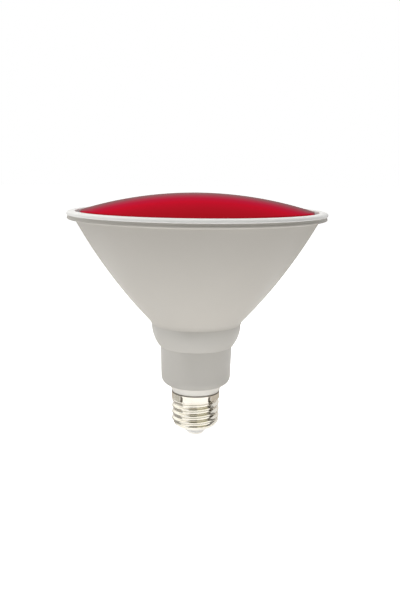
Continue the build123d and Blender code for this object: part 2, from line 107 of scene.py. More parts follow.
# Small steps, gaps and roundings of the sections
CONE_FOOT = 1.15
CONE_GAP = 0.2
LEDGE_DEPTH = 3.7
SEAT_THICKNESS = 1.0
FLANGE_EDGE = 0.6
BEAD_TOP = 1.4
GROOVE_START = 1.7
GROOVE_DEPTH = 0.25
COLLAR_GAP = 0.6
SLEEVE_CURVE = ((SLEEVE_RADIUS, 34.0), (18.45, 31.25), (16.35, SLEEVE_BOTTOM))
NECK_SWELL = 0.75
NECK_MIDDLE = 27.3
FLARE_STEP = 0.2
THROAT_STEP = 0.5
THROAT_DEPTH = 2.5
SPIGOT_SHOULDER = 0.4
SHELL_SEAT_HEIGHT = 0.6
LENS_LIFT = 0.3
LENS_SHOULDER = 1.8
BEZEL_SHOULDER = 1.4
GASKET_STEP = 0.2
INSULATOR_EDGE = 0.4
RIVET_WALL = 0.3
RIVET_HEAD_RADIUS = RIVET_RADIUS + 0.7
RIVET_HEAD_SLOPE = 0.3
RIVET_HEAD_HEIGHT = 0.6

# The shell's soft corners, and where shade is painted on its metal: in the stake marks and along
# the upper edge
THREAD_BLEND = 0.15
STAKE_BLEND = 0.12
STAKE_LIFT = 0.25
# Painted shade: how deep a dent is fully shaded, and how far below the top edge the shaded line
# reaches
DULL_DEPTH = 0.06
DULL_EDGE = 0.4

# Section curves: the circle's radius and its centre, as distance from the axis and height
CONE_CURVE = (263.3, -167.3, 244.8)
COLLAR_CURVE = (18.3, 6.11, 62.87)
LENS_CURVE = 211.4

# How finely the meshes are made
TURNING_STEPS = 256
SHELL_TURNING_STEPS = 288
SHELL_OUTER_STEPS = 170
SHELL_INNER_STEPS = 60
BOSS_SIDES = 32
CREASE_ANGLE = math.radians(32)
MERGE_DISTANCE = 1e-7

# Rings of bosses and LED packages inside: circle, count and first angle
BOARD_SCREW_CIRCLE = 40.0
BOARD_SCREW_RING = (BOARD_SCREW_CIRCLE, 3, 30.0)
BOSS_RADIUS = 3.0
BOSS_TOP = 100.0
HOUSING_SCREW_RING = (20.4, 3, 90.0)
SCREW_HEAD_RADIUS = 2.3
BOARD_TOP = 102.8
LED_SIZE = (3.5, 2.8, 0.7)
LED_EDGE = 0.12
LED_RINGS = ((18.0, 8, 0.0), (27.0, 14, 0.0), (36.0, 18, 0.0))


def curve_radius(curve, height, inset=0.0):
    """Distance from the axis, at this height, of a side that is an arc in section"""
    size, centre_radius, centre_height = curve
    return centre_radius + math.sqrt((size - inset) ** 2 - (height - centre_height) ** 2)


def curved_side(curve, start, end, steps, inset=0.0):
    """Corners along an arc between two heights, none of them rounded"""
    heights = [start + (end - start) * i / steps for i in range(steps + 1)]
    return [(curve_radius(curve, height, inset), height, 0.0) for height in heights]


def arc_through(start, middle, end, steps):
    """Corners along the arc through three points, none of them rounded"""
    (ax, ay), (bx, by), (cx, cy) = start, middle, end
    scale = 2 * (ax * (by - cy) + bx * (cy - ay) + cx * (ay - by))
    squares = (ax * ax + ay * ay, bx * bx + by * by, cx * cx + cy * cy)
    x = (squares[0] * (by - cy) + squares[1] * (cy - ay) + squares[2] * (ay - by)) / scale
    y = (squares[0] * (cx - bx) + squares[1] * (ax - cx) + squares[2] * (bx - ax)) / scale
    centre = Vector((x, y))
    arm = Vector(start) - centre
    sweep = arm.angle_signed(Vector(end) - centre)
    points = [centre + Matrix.Rotation(-sweep * i / steps, 2) @ arm for i in range(steps + 1)]
    return [(point.x, point.y, 0.0) for point in points]


def dome_side(apex, radius, reach, steps):
    """Corners from the pole of a dome out to a distance from the axis, none of them rounded"""
    places = [reach * i / steps for i in range(steps + 1)]
    return [(x, apex - radius + math.sqrt(radius * radius - x * x), 0.0) for x in places]


def rounded_outline(corners, steps=6):
    """A closed outline in (radius, height), with each corner rounded by its own radius"""
    points = []
    count = len(corners)
    for i, (x, y, rounding) in enumerate(corners):
        here = Vector((x, y))
        if rounding == 0.0:
            points.append(here)
            continue
        to_last = (Vector(corners[i - 1][:2]) - here).normalized()
        to_next = (Vector(corners[(i + 1) % count][:2]) - here).normalized()
        half = to_last.angle(to_next) / 2
        centre = here + (to_last + to_next).normalized() * (rounding / math.sin(half))
        start = here + to_last * (rounding / math.tan(half)) - centre
        end = here + to_next * (rounding / math.tan(half)) - centre
        sweep = start.angle_signed(end)
        for step in range(steps + 1):
            turn = Matrix.Rotation(-sweep * step / steps, 2)
            points.append(centre + turn @ start)
    return points


def new_tree(name, inputs):
    """A Geometry Nodes tree with a geometry in and out and these named inputs"""
    tree = bpy.data.node_groups.new(name, "GeometryNodeTree")
    tree.interface.new_socket("Geometry", in_out="INPUT", socket_type="NodeSocketGeometry")
    for label, kind in inputs:
        tree.interface.new_socket(label, in_out="INPUT", socket_type=kind)
    tree.interface.new_socket("Geometry", in_out="OUTPUT", socket_type="NodeSocketGeometry")
    return tree


class Wiring:
    """Short calls for placing and joining nodes in one tree"""

    def __init__(self, tree):
        self.tree = tree

    def node(self, kind, **settings):
        made = self.tree.nodes.new(kind)
        for key, value in settings.items():
            setattr(made, key, value)
        return made

    def join(self, value, socket):
        if isinstance(value, (int, float, tuple)):
            socket.default_value = value
        else:
            self.tree.links.new(value, socket)

    def math(self, operation, first, second=None, third=None):
        made = self.node("ShaderNodeMath", operation=operation)
        for value, socket in zip((first, second, third), made.inputs):
            if value is not None:
                self.join(value, socket)
        return made.outputs[0]

    def plus(self, first, second):
        return self.math("ADD", first, second)

    def minus(self, first, second):
        return self.math("SUBTRACT", first, second)

    def times(self, first, second):
        return self.math("MULTIPLY", first, second)

    def over(self, first, second):
        return self.math("DIVIDE", first, second)

    def combine(self, x, y, z):
        made = self.node("ShaderNodeCombineXYZ")
        for value, socket in zip((x, y, z), made.inputs):
            self.join(value, socket)
        return made.outputs[0]

    def separate(self, vector):
        made = self.node("ShaderNodeSeparateXYZ")
        self.join(vector, made.inputs[0])
        return made.outputs

    def mix(self, share, first, second, **settings):
        made = self.node("ShaderNodeMix", data_type="RGBA", **settings)
        self.join(share, made.inputs["Factor"])
        self.join(first, made.inputs["A"])
        self.join(second, made.inputs["B"])
        return made.outputs["Result"]

    def noise(self, place, scale, detail):
        made = self.node("ShaderNodeTexNoise")
        self.join(place, made.inputs["Vector"])
        self.join(scale, made.inputs["Scale"])
        self.join(detail, made.inputs["Detail"])
        return made.outputs["Fac"]


def finish_tree(wires, geometry, material):
    """Smooth faces with sharp creases, then the material, then the tree's output"""
    merge = wires.node("GeometryNodeMergeByDistance")
    wires.join(geometry, merge.inputs["Geometry"])
    wires.join(MERGE_DISTANCE, merge.inputs["Distance"])
    smooth = wires.node("GeometryNodeSetShadeSmooth", domain="FACE")
    wires.join(merge.outputs["Geometry"], smooth.inputs["Geometry"])
    angle = wires.node("GeometryNodeInputMeshEdgeAngle")
    crease = wires.math("GREATER_THAN", angle.outputs["Unsigned Angle"], CREASE_ANGLE)
    sharp = wires.node("GeometryNodeSetShadeSmooth", domain="EDGE")
    wires.join(smooth.outputs["Geometry"], sharp.inputs["Geometry"])
    wires.join(crease, sharp.inputs["Selection"])
    wires.join(False, sharp.inputs["Shade Smooth"])
    real = wires.node("GeometryNodeRealizeInstances")
    wires.join(sharp.outputs["Geometry"], real.inputs["Geometry"])
    paint = wires.node("GeometryNodeSetMaterial")
    wires.join(real.outputs["Geometry"], paint.inputs["Geometry"])
    wires.join(material, paint.inputs["Material"])
    out = wires.node("NodeGroupOutput")
    wires.join(paint.outputs["Geometry"], out.inputs["Geometry"])


def turned_grid(wires, source):
    """A grid of section points by turning steps: returns its geometry, the angle and a sampler"""
    size = wires.node("GeometryNodeAttributeDomainSize", component="MESH")
    wires.join(source.outputs["Geometry"], size.inputs["Geometry"])
    points = size.outputs["Point Count"]
    rows = wires.plus(source.outputs["Steps"], 1.0)
    grid = wires.node("GeometryNodeMeshGrid")
    wires.join(wires.plus(points, 1.0), grid.inputs["Vertices X"])
    wires.join(rows, grid.inputs["Vertices Y"])
    index = wires.node("GeometryNodeInputIndex").outputs["Index"]
    column = wires.math("FLOOR", wires.over(wires.plus(index, 0.5), rows))
    row = wires.minus(index, wires.times(column, rows))
    angle = wires.times(wires.over(row, source.outputs["Steps"]), math.tau)
    wrapped = wires.math("FLOORED_MODULO", column, points)

    def sample(value, kind):
        picked = wires.node("GeometryNodeSampleIndex", data_type=kind, domain="POINT")
        wires.join(source.outputs["Geometry"], picked.inputs["Geometry"])
        wires.join(value, picked.inputs["Value"])
        wires.join(wrapped, picked.inputs["Index"])
        return picked.outputs["Value"]

    return grid.outputs["Mesh"], angle, sample


def place_turned(wires, mesh, radius, angle, height):
    """Moves the mesh's points to their places round the axis"""
    x = wires.times(radius, wires.math("COSINE", angle))
    y = wires.times(radius, wires.math("SINE", angle))
    move = wires.node("GeometryNodeSetPosition")
    wires.join(mesh, move.inputs["Geometry"])
    wires.join(wires.combine(x, y, height), move.inputs["Position"])
    return move.outputs["Geometry"]


def turned_section_tree():
    """Turns a section, held as points in the XZ plane, round the axis"""
    inputs = [("Steps", "NodeSocketInt"), ("Material", "NodeSocketMaterial")]
    tree = new_tree("turned_section", inputs)
    wires = Wiring(tree)
    source = wires.node("NodeGroupInput")
    mesh, angle, sample = turned_grid(wires, source)
    position = wires.node("GeometryNodeInputPosition").outputs["Position"]
    radius, _, height = wires.separate(sample(position, "FLOAT_VECTOR"))
    turned = place_turned(wires, mesh, radius, angle, height)
    finish_tree(wires, turned, source.outputs["Material"])
    return tree


def rolled_thread_tree():
    """Turns the cap's section and rolls the thread and the stake marks into it"""
    counts = [("Steps", "NodeSocketInt"), ("Stakes", "NodeSocketInt")]
    names = ["Pitch", "Start", "Crest", "Root", "Band", "Stake Radius", "Stake Length"]
    names += ["Stake Height", "Stake Angle", "Dull Edge"]
    sizes = [(name, "NodeSocketFloat") for name in names]
    tree = new_tree("rolled_thread", counts + [("Material", "NodeSocketMaterial")] + sizes)
    wires = Wiring(tree)
    source = wires.node("NodeGroupInput")
    given = source.outputs
    mesh, angle, sample = turned_grid(wires, source)
    position = wires.node("GeometryNodeInputPosition").outputs["Position"]
    limit, _, height = wires.separate(sample(position, "FLOAT_VECTOR"))

    def carried(name):
        read = wires.node("GeometryNodeInputNamedAttribute", data_type="FLOAT")
        read.inputs["Name"].default_value = name
        return sample(read.outputs["Attribute"], "FLOAT")

    def square(value):
        return wires.times(value, value)

    def bulge(size, offset):
        inside = wires.minus(square(size), square(offset))
        return wires.math("SQRT", wires.math("MAXIMUM", inside, 0.0))

    core = carried("core")
    inset = carried("inset")
    threaded = carried("threaded")

    # The thread's section is a chain of equal arcs, one round each crest and each root
    pitch = given["Pitch"]
    crest = given["Crest"]
    root = given["Root"]
    half = wires.times(pitch, 0.5)
    depth = wires.minus(crest, root)
    squares = wires.plus(square(half), square(depth))
    roll = wires.over(squares, wires.times(depth, 4.0))
    turns = wires.over(wires.minus(height, given["Start"]), pitch)
    phase = wires.minus(turns, wires.over(angle, math.tau))
    nearest = wires.minus(phase, wires.math("ROUND", phase))
    off_crest = wires.times(wires.math("ABSOLUTE", nearest), pitch)
    off_root = wires.minus(half, off_crest)
    crest_roll = wires.minus(roll, inset)
    root_roll = wires.plus(roll, inset)
    on_crest = wires.plus(wires.minus(crest, roll), bulge(crest_roll, off_crest))
    on_root = wires.minus(wires.plus(root, roll), bulge(root_roll, off_root))
    share = wires.over(wires.times(half, crest_roll), wires.times(roll, 2.0))
    near_crest = wires.math("LESS_THAN", off_crest, share)
    span = wires.times(wires.minus(on_crest, on_root), near_crest)
    thread = wires.math("MINIMUM", wires.plus(on_root, span), limit)
    rolled = wires.math("SMOOTH_MAX", thread, core, THREAD_BLEND * MM)
    kept = wires.times(wires.minus(rolled, core), threaded)
    wall = wires.plus(core, kept)

    # Each stake mark is the dent of an upright rounded peg pressed into the band
    spacing = wires.over(math.tau, given["Stakes"])
    places = wires.over(wires.minus(angle, given["Stake Angle"]), spacing)
    off_stake = wires.times(wires.minus(places, wires.math("ROUND", places)), spacing)
    across = wires.times(off_stake, crest)
    rise = wires.math("ABSOLUTE", wires.minus(height, given["Stake Height"]))
    half_stake = wires.times(given["Stake Length"], 0.5)
    past_end = wires.math("MAXIMUM", wires.minus(rise, half_stake), 0.0)
    away = wires.math("SQRT", wires.plus(square(across), square(past_end)))
    peg = bulge(wires.plus(given["Stake Radius"], inset), away)
    pressed = wires.minus(wires.plus(given["Band"], STAKE_LIFT * MM), peg)
    final = wires.math("SMOOTH_MIN", wall, pressed, STAKE_BLEND * MM)

    # Painted shade: the metal is darkened in the stake marks' dents and along the upper edge at
    # the joint with the neck
    in_mark = wires.over(wires.minus(wall, final), DULL_DEPTH * MM)
    at_edge = wires.math("GREATER_THAN", height, given["Dull Edge"])
    dulled = wires.math("MINIMUM", wires.math("MAXIMUM", in_mark, at_edge), 1.0)
    keep = wires.node("GeometryNodeStoreNamedAttribute", data_type="FLOAT", domain="POINT")
    wires.join(place_turned(wires, mesh, final, angle, height), keep.inputs["Geometry"])
    keep.inputs["Name"].default_value = "dulled"
    wires.join(dulled, keep.inputs["Value"])
    finish_tree(wires, keep.outputs["Geometry"], given["Material"])
    return tree


def ring_of_parts_tree():
    """Copies of the base mesh round a circle, each turned to face outwards"""
    names = ["Radius", "Start Angle", "Height"]
    inputs = [(name, "NodeSocketFloat") for name in names]
    inputs += [("Count", "NodeSocketInt"), ("Material", "NodeSocketMaterial")]
    tree = new_tree("ring_of_parts", inputs)
    wires = Wiring(tree)
    given = wires.node("NodeGroupInput").outputs
    line = wires.node("GeometryNodeMeshLine")
    wires.join(given["Count"], line.inputs["Count"])
    index = wires.node("GeometryNodeInputIndex").outputs["Index"]
    share = wires.over(index, given["Count"])
    angle = wires.plus(wires.times(share, math.tau), given["Start Angle"])
    placed = place_turned(wires, line.outputs["Mesh"], given["Radius"], angle, given["Height"])
    copies = wires.node("GeometryNodeInstanceOnPoints")
    wires.join(placed, copies.inputs["Points"])
    wires.join(given["Geometry"], copies.inputs["Instance"])
    wires.join(wires.combine(0.0, 0.0, angle), copies.inputs["Rotation"])
    real = wires.node("GeometryNodeRealizeInstances")
    wires.join(copies.outputs["Instances"], real.inputs["Geometry"])
    finish_tree(wires, real.outputs["Geometry"], given["Material"])
    return tree


def set_inputs(modifier, **values):
    """Sets a modifier's inputs by the name of their sockets"""
    for item in modifier.node_group.interface.items_tree:
        key = item.name.replace(" ", "_").lower()
        if item.in_out == "INPUT" and key in values:
            modifier[item.identifier] = values[key]


def add_object(name, data):
    """A new object in the scene"""
    made = bpy.data.objects.new(name, data)
    bpy.context.scene.collection.objects.link(made)
    return made


def mesh_from(name, work):
    """Ends the work on some faces and returns them as a mesh"""
    mesh = bpy.data.meshes.new(name)
    work.to_mesh(mesh)
    work.free()
    return mesh


def bake(name, base, tree, **values):
    """Runs a tree on the base mesh and keeps the result as a plain, closed, outward mesh"""
    holder = add_object(name + "_base", base)
    modifier = holder.modifiers.new("shape", "NODES")
    modifier.node_group = tree
    set_inputs(modifier, **values)
    bpy.context.view_layer.update()
    evaluated = holder.evaluated_get(bpy.context.evaluated_depsgraph_get())
    mesh = bpy.data.meshes.new_from_object(evaluated)
    mesh.name = name
    bpy.data.objects.remove(holder)
    work = bmesh.new()
    work.from_mesh(mesh)
    bmesh.ops.recalc_face_normals(work, faces=work.faces)
    work.to_mesh(mesh)
    work.free()
    return add_object(name, mesh)


TURNED_SECTION = turned_section_tree()
RING_OF_PARTS = ring_of_parts_tree()


def section_mesh(name, points):
    """The section's points as a mesh of single vertices in the XZ plane"""
    mesh = bpy.data.meshes.new(name)
    mesh.from_pydata([(x * MM, 0.0, y * MM) for x, y in points], [], [])
    return mesh


def stands_for(piece, node):
    """The piece rides on the lamp and takes the place of the CAD node, which is hidden"""
    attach(piece, "root")
    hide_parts(node)


def surface_group(name, inputs):
    """A shader group that gives a surface's colour, roughness and relief height"""
    group = bpy.data.node_groups.new(name, "ShaderNodeTree")
    for label, kind, value in inputs:
        socket = group.interface.new_socket(label, in_out="INPUT", socket_type=kind)
        socket.default_value = value
    outputs = (("Colour", "NodeSocketColor"), ("Roughness", "NodeSocketFloat"))
    for label, kind in outputs + (("Height", "NodeSocketFloat"),):
        group.interface.new_socket(label, in_out="OUTPUT", socket_type=kind)
    wires = Wiring(group)
    given = wires.node("NodeGroupInput").outputs
    result = wires.node("NodeGroupOutput").inputs
    return group, wires, given, result


def moulded_surface_group():
    """Moulded or painted plastic: soft colour drift, fine grain and uneven gloss"""
    inputs = [
        ("Colour", "NodeSocketColor", (0.5, 0.5, 0.5, 1.0)),
        ("Drift", "NodeSocketFloat", 0.04),
        ("Roughness", "NodeSocketFloat", 0.45),
        ("Grain Size", "NodeSocketFloat", 0.4),
    ]
    group, wires, given, result = surface_group("moulded_surface", inputs)
    drift_scale = 45.0
    drift_share = 0.7
    grain_share = 0.3
    gloss_swing = 0.2
    place = wires.node("ShaderNodeTexCoord").outputs["Object"]
    drift = wires.noise(place, drift_scale, 3.0)
    grain = wires.noise(place, wires.over(1 / MM, given["Grain Size"]), 4.0)
    mixed = wires.plus(wires.times(drift, drift_share), wires.times(grain, grain_share))
    swing = wires.times(wires.minus(mixed, 0.5), wires.times(given["Drift"], 2.0))
    scale = wires.node("ShaderNodeVectorMath", operation="SCALE")
    wires.join(given["Colour"], scale.inputs[0])
    wires.join(wires.plus(swing, 1.0), scale.inputs["Scale"])
    wires.join(scale.outputs[0], result["Colour"])
    gloss = wires.times(wires.minus(drift, 0.5), gloss_swing)
    wires.join(wires.plus(gloss, given["Roughness"]), result["Roughness"])
    wires.join(grain, result["Height"])
    return group


def metal_surface_group():
    """Plated or rolled metal: faint stains, fine lines round the axis and uneven polish"""
    inputs = [
        ("Colour", "NodeSocketColor", (0.8, 0.8, 0.8, 1.0)),
        ("Stain", "NodeSocketColor", (0.6, 0.6, 0.6, 1.0)),
        ("Stain Amount", "NodeSocketFloat", 0.3),
        ("Roughness", "NodeSocketFloat", 0.2),
    ]
    group, wires, given, result = surface_group("metal_surface", inputs)
    blotch_scale = 160.0
    line_scale = (150.0, 150.0, 9000.0)
    stain_start = 0.45
    stain_softness = 0.05
    stain_gain = 4.0
    polish_swing = 0.12
    place = wires.node("ShaderNodeTexCoord").outputs["Object"]
    blotch = wires.noise(place, blotch_scale, 4.0)
    stained = wires.math("SMOOTH_MAX", wires.minus(blotch, stain_start), 0.0, stain_softness)
    amount = wires.times(wires.times(stained, stain_gain), given["Stain Amount"])
    share = wires.math("MINIMUM", amount, 1.0)
    wires.join(wires.mix(share, given["Colour"], given["Stain"]), result["Colour"])
    stretch = wires.node("ShaderNodeMapping")
    wires.join(place, stretch.inputs["Vector"])
    wires.join(line_scale, stretch.inputs["Scale"])
    polish = wires.times(wires.minus(blotch, 0.5), polish_swing)
    wires.join(wires.plus(given["Roughness"], polish), result["Roughness"])
    wires.join(wires.noise(stretch.outputs["Vector"], 1.0, 2.0), result["Height"])
    return group


MOULDED = moulded_surface_group()
METAL = metal_surface_group()


def surface_material(name, group, values, bump, distance, **shader):
    """A principled material driven by one of the surface groups, with constants on the shader"""
    material = bpy.data.materials.new(name)
    material.use_nodes = True
    wires = Wiring(material.node_tree)
    principled = material.node_tree.nodes["Principled BSDF"]
    effect = wires.node("ShaderNodeGroup", node_tree=group)
    for label, value in values.items():
        effect.inputs[label].default_value = value
    wires.join(effect.outputs["Colour"], principled.inputs["Base Color"])
    wires.join(effect.outputs["Roughness"], principled.inputs["Roughness"])
    relief = wires.node("ShaderNodeBump")
    relief.inputs["Strength"].default_value = bump
    relief.inputs["Distance"].default_value = distance * MM
    wires.join(effect.outputs["Height"], relief.inputs["Height"])
    wires.join(relief.outputs["Normal"], principled.inputs["Normal"])
    for label, value in shader.items():
        principled.inputs[label.replace("_", " ")].default_value = value
    return material


def srgb(red, green, blue):
    """A colour from its 0 to 255 display values"""
    def linear(value):
        share = value / 255
        return share / 12.92 if share <= 0.04045 else ((share + 0.055) / 1.055) ** 2.4
    return (linear(red), linear(green), linear(blue), 1.0)


def plastic(name, colour, drift, roughness, grain, bump, reflection):
    """Moulded plastic or paint"""
    values = {"Colour": srgb(*colour), "Drift": drift, "Roughness": roughness, "Grain Size": grain}
    relief = 0.05
    return surface_material(name, MOULDED, values, bump, relief, Specular_IOR_Level=reflection)


def metal(name, colour, stain, amount, roughness):
    """Plated or rolled metal"""
    values = {"Colour": srgb(*colour), "Stain": srgb(*stain)}
    values.update({"Stain Amount": amount, "Roughness": roughness})
    bump = 0.05
    relief = 0.02
    return surface_material(name, METAL, values, bump, relief, Metallic=1.0)


# Display colour, drift, roughness, grain size in millimetres, bump and reflection
PLASTICS = {
    "cone_grey": ((179, 175, 168), 0.03, 0.5, 0.5, 0.15, 0.25),
    "neck_grey": ((178, 175, 169), 0.025, 0.42, 0.4, 0.08, 0.5),
    "cup_white": ((226, 223, 216), 0.02, 0.4, 0.4, 0.06, 0.5),
    "bezel_pale": ((237, 236, 233), 0.02, 0.42, 0.6, 0.04, 0.3),
    "gasket_grey": ((160, 163, 162), 0.05, 0.6, 0.3, 0.2, 0.5),
    "insulator_white": ((250, 249, 246), 0.02, 0.42, 0.5, 0.05, 0.5),
    "lens_red": ((255, 255, 255), 0.03, 0.4, 0.8, 0.02, 0.0),
    "led_body": ((228, 200, 96), 0.04, 0.4, 0.4, 0.1, 0.5),
    "board_white": ((236, 236, 232), 0.04, 0.35, 0.4, 0.1, 0.5),
    "connector_white": ((232, 230, 222), 0.04, 0.45, 0.4, 0.1, 0.5),
    "board_green": ((26, 98, 52), 0.1, 0.3, 0.4, 0.1, 0.5),
    "capacitor_sleeve": ((34, 36, 48), 0.04, 0.3, 0.4, 0.1, 0.5),
    "film_yellow": ((212, 172, 42), 0.04, 0.3, 0.4, 0.1, 0.5),
    "ferrite": ((58, 58, 62), 0.12, 0.7, 0.4, 0.1, 0.5),
    "coil_tape": ((216, 180, 60), 0.04, 0.25, 0.4, 0.1, 0.5),
    "chip_black": ((28, 28, 30), 0.04, 0.55, 0.4, 0.1, 0.5),
    "resistor_green": ((78, 118, 84), 0.04, 0.5, 0.4, 0.1, 0.5),
    "lead_brown": ((98, 60, 40), 0.04, 0.4, 0.4, 0.1, 0.5),
    "lead_blue": ((40, 76, 150), 0.04, 0.4, 0.4, 0.1, 0.5),
    "lead_red": ((180, 40, 38), 0.04, 0.4, 0.4, 0.1, 0.5),
    "lead_black": ((30, 30, 32), 0.04, 0.4, 0.4, 0.1, 0.5),
}

# Display colour, stain colour, stain amount and roughness
METALS = {
    "shell_nickel": ((223, 219, 209), (196, 189, 171), 0.3, 0.12),
    "contact_metal": ((218, 216, 211), (186, 182, 173), 0.3, 0.2),
    "pan_aluminium": ((214, 214, 212), (180, 180, 176), 0.3, 0.35),
    "screw_steel": ((200, 202, 205), (150, 146, 138), 0.4, 0.3),
}

# The lens's red with painted light by its slant to the view, from straight on to edge on: painted
# shade straight on, painted light at a slant and a greyish painted reflection edge on
LENS_TINT = (
    (0.50, (160, 18, 31)),
    (0.66, (169, 22, 33)),
    (0.72, (180, 23, 38)),
    (0.785, (199, 21, 44)),
    (0.83, (191, 31, 59)),
    (0.87, (175, 62, 79)),
    (0.90, (158, 85, 93)),
    (0.95, (148, 112, 112)),
)

FINISHES = {name: plastic(name, *look) for name, look in PLASTICS.items()}
FINISHES.update({name: metal(name, *look) for name, look in METALS.items()})


def base_colour(material):
    """The material's wiring, its shader's inputs and the colour that goes into the shader"""
    wires = Wiring(material.node_tree)
    inputs = material.node_tree.nodes["Principled BSDF"].inputs
    return wires, inputs, inputs["Base Color"].links[0].from_socket


def dull_marks(material):
    """Paints shade on the nickel: dark in the stake marks' dents and along the upper edge at the
    joint with the neck
    """
    wires, inputs, bright = base_colour(material)
    strength = 0.9
    marks = wires.node("ShaderNodeAttribute", attribute_name="dulled")
    share = wires.times(marks.outputs["Fac"], strength)
    # The dark brown-grey is painted shade, mixed in where the dents and the joint lie in shade
    wires.join(wires.mix(share, bright, srgb(84, 76, 64)), inputs["Base Color"])


def tint_lens(material):
    """Red moulded lens: painted shade seen straight on, painted light at a slant and a greyish
    painted reflection edge on
    """
    wires, inputs, drift = base_colour(material)
    coat_end = 0.55
    coat_gain = 1.6
    coat_roughness = 0.22
    edge = wires.node("ShaderNodeLayerWeight")
    wires.join(0.5, edge.inputs["Blend"])
    tint = wires.node("ShaderNodeValToRGB")
    wires.join(edge.outputs["Facing"], tint.inputs["Fac"])
    stops = tint.color_ramp.elements
    stops.remove(stops[1])
    stops[0].color = srgb(*LENS_TINT[0][1])
    for place, colour in LENS_TINT:
        stops.new(place).color = srgb(*colour)
    # Painted light: the ramp's shade, light and reflection by slant multiply the lens's red
    mixed = wires.mix(1.0, drift, tint.outputs["Color"], blend_type="MULTIPLY")
    wires.join(mixed, inputs["Base Color"])
    sheen = wires.times(wires.minus(coat_end, edge.outputs["Facing"]), coat_gain)
    wires.join(wires.math("MAXIMUM", sheen, 0.0), inputs["Coat Weight"])
    wires.join(coat_roughness, inputs["Coat Roughness"])


def dress_cad_nodes():
    """Gives every CAD node its finish; the pieces inside are seen in their CAD shapes"""
    for part in frame["record"]["subparts"]:
        node = frame["nodes"][part["node"]]
        node.data.materials.clear()
        node.data.materials.append(FINISHES[part["material_slot"]])


def turned_piece(name, corners, slot):
    """A piece turned from a closed outline of (radius, height, rounding) corners"""
    section = section_mesh(name + "_section", rounded_outline(corners))
    return bake(name, section, TURNED_SECTION, steps=TURNING_STEPS, material=FINISHES[slot])


def rounded_last(corners, rounding):
    """The same corners with the last one rounded"""
    x, y, _ = corners[-1]
    return corners[:-1] + [(x, y, rounding)]


def make_reflector_housing():
    """The curved cone with its floor, lens seat and turned-out flange"""
    floor_top = CONE_BOTTOM + CONE_WALL
    bore = CUP_RADIUS + CONE_GAP
    groove = FLANGE_RADIUS - GROOVE_DEPTH
    ledge = SEAT_HEIGHT - LEDGE_DEPTH
    outside = curved_side(CONE_CURVE, CONE_BOTTOM + CONE_FOOT, FLANGE_BOTTOM, steps=30)
    inside = curved_side(CONE_CURVE, ledge, floor_top, steps=16, inset=CONE_WALL)
    corners = rounded_last(outside, 0.8) + [
        (FLANGE_RADIUS, FLANGE_BOTTOM + FLANGE_EDGE, 0.5),
        (FLANGE_RADIUS, FLANGE_BOTTOM + BEAD_TOP, 0.3),
        (groove, FLANGE_BOTTOM + GROOVE_START, 0.15),
        (groove, FLANGE_TOP, 0.0),
        (RECESS_RADIUS, FLANGE_TOP, 0.1),
        (RECESS_RADIUS, SEAT_HEIGHT, 0.0),
        (SEAT_RADIUS, SEAT_HEIGHT, 0.2),
        (SEAT_RADIUS, SEAT_HEIGHT - SEAT_THICKNESS, 0.0),
    ]
    corners += inside + [
        (bore, floor_top, 0.2),
        (bore, CONE_BOTTOM, 0.0),
        (CONE_BOTTOM_RADIUS, CONE_BOTTOM, 0.25),
    ]
    housing = turned_piece("cone", corners, "cone_grey")
    stands_for(housing, "reflector_housing")
    bosses = ring_of_parts("cone_bosses", boss_base(), "cone_grey", [BOARD_SCREW_RING], 0.0)
    stands_for(bosses, "reflector_housing")


def boss_base():
    """One screw boss whose lower end is cut to the middle of the cone's wall"""
    work = bmesh.new()
    size, centre_radius, centre_height = CONE_CURVE
    middle = size - CONE_WALL / 2
    lower = []
    upper = []
    for i in range(BOSS_SIDES):
        turn = math.tau * i / BOSS_SIDES
        x = BOSS_RADIUS * math.cos(turn)
        y = BOSS_RADIUS * math.sin(turn)
        away = math.hypot(BOARD_SCREW_CIRCLE + x, y)
        foot = centre_height - math.sqrt(middle**2 - (away - centre_radius) ** 2)
        lower.append(work.verts.new((x * MM, y * MM, foot * MM)))
        upper.append(work.verts.new((x * MM, y * MM, BOSS_TOP * MM)))
    for i in range(BOSS_SIDES):
        after = (i + 1) % BOSS_SIDES
        work.faces.new((lower[i], lower[after], upper[after], upper[i]))
    work.faces.new(upper)
    work.faces.new(list(reversed(lower)))
    return mesh_from("boss", work)


def box_base(name, size, rounding):
    """A box standing on Z = 0 with slightly broken edges"""
    length, width, height = size
    work = bmesh.new()
    bmesh.ops.create_cube(work, size=1.0)
    for vertex in work.verts:
        x, y, z = vertex.co
        vertex.co = Vector((x * length, y * width, (z + 0.5) * height)) * MM
    edge = {"offset": rounding * MM, "segments": 2, "profile": 0.5, "affect": "EDGES"}
    bmesh.ops.bevel(work, geom=list(work.edges), **edge)
    return mesh_from(name, work)


def ring_of_parts(name, base, slot, rings, height):
    """Places the base round the axis, ring by ring, each facing outwards"""
    pieces = []
    for radius, count, start in rings:
        piece = bake(
            name,
            base,
            RING_OF_PARTS,
            radius=radius * MM,
            count=count,
            start_angle=math.radians(start),
            height=height * MM,
            material=FINISHES[slot],
        )
        pieces.append(piece)
    joined = bmesh.new()
    for piece in pieces:
        joined.from_mesh(piece.data)
    joined.to_mesh(pieces[0].data)
    joined.free()
    for piece in pieces[1:]:
        bpy.data.objects.remove(piece)
    return pieces[0]


def make_leds():
    """The LED packages on their three rings"""
    package = box_base("led_package", LED_SIZE, LED_EDGE)
    leds = ring_of_parts("led_packages", package, "led_body", LED_RINGS, BOARD_TOP)
    stands_for(leds, "leds")


